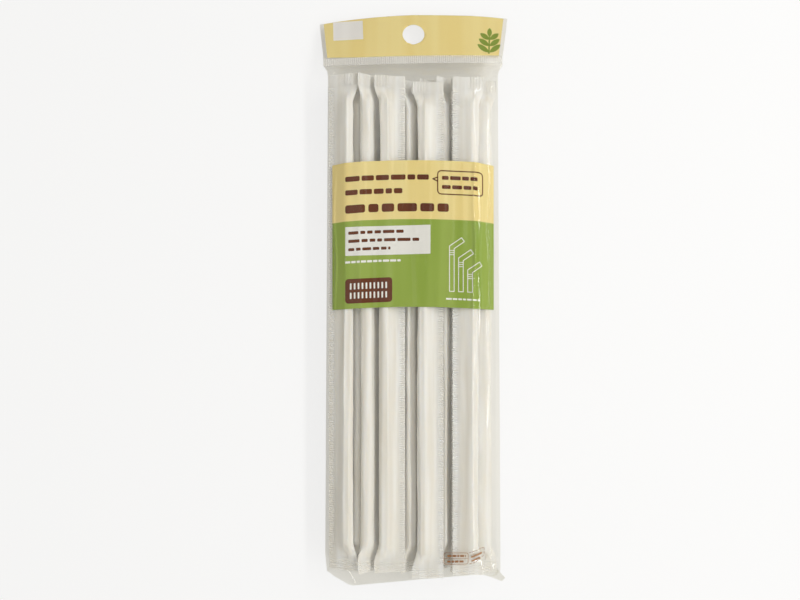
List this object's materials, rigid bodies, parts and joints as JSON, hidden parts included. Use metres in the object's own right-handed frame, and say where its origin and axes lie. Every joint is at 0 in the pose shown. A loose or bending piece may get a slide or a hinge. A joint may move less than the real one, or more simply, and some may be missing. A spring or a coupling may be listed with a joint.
{
  "type": "bag of wrapped drinking straws",
  "caption": "Clear film hang bag, sealed across the top and folded at the bottom, filled with flexible drinking straws in crimped white paper sleeves.",
  "frame": {"origin": "middle of the bag's outline, on the surface that its back lies on", "axes": "+X across the bag to the right as seen from the printed front, +Y along the straws towards the header, +Z out of the printed front"},
  "size_m": [0.089, 0.2707, 0.0205],
  "materials": {
    "film": "clear thin film, glossy, printed with a cream and green band and a cream header",
    "paper": "thin white paper, matt, crimped"
  },
  "bodies": {
    "root": {"bag": "film", "wrapped_straw_01": "paper", "wrapped_straw_02": "paper", "wrapped_straw_03": "paper", "wrapped_straw_04": "paper", "wrapped_straw_05": "paper", "wrapped_straw_06": "paper", "wrapped_straw_07": "paper", "wrapped_straw_08": "paper", "wrapped_straw_09": "paper", "wrapped_straw_10": "paper", "wrapped_straw_11": "paper", "wrapped_straw_12": "paper", "wrapped_straw_13": "paper", "wrapped_straw_14": "paper", "wrapped_straw_15": "paper", "wrapped_straw_16": "paper", "wrapped_straw_17": "paper", "wrapped_straw_18": "paper", "wrapped_straw_19": "paper", "wrapped_straw_20": "paper"}
  },
  "joints": []
}
